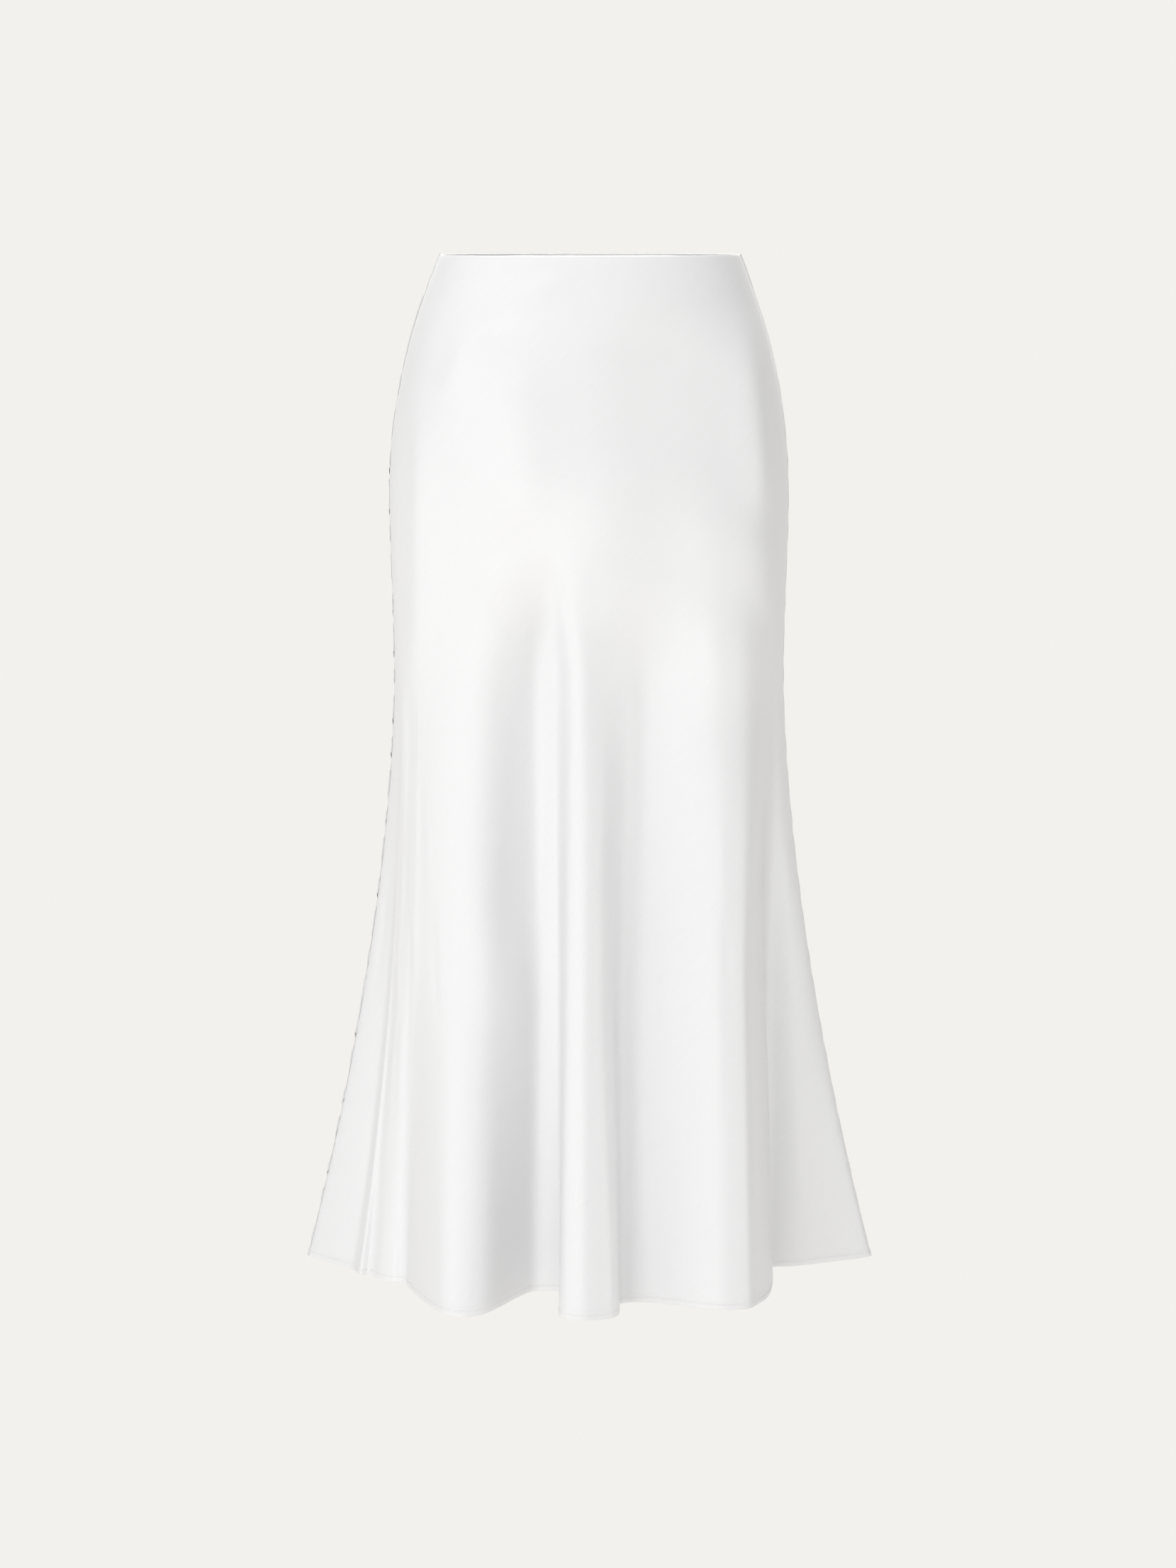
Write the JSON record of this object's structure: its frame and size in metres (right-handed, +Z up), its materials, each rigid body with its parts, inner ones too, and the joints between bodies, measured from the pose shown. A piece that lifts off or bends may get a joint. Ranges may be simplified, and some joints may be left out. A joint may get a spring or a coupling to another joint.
{
  "type": "slip skirt",
  "caption": "Long bias-cut satin slip skirt, filled out as worn, close over the hips and falling in soft flutes to a narrow hem.",
  "frame": {"origin": "on the waist's axis, halfway up the waist elastic, where a waist holds the skirt", "axes": "+Z up towards the head, the front faces -Y, +X is to the right of someone facing the front"},
  "size_m": [0.4654, 0.4177, 0.8234],
  "materials": {
    "satin": "white satin weave with a soft sheen",
    "elastic": "matte woven elastic tape",
    "thread": "fine white sewing thread"
  },
  "bodies": {
    "root": {"front_panel": "satin", "back_panel": "satin", "waist_elastic": "elastic"}
  },
  "joints": []
}
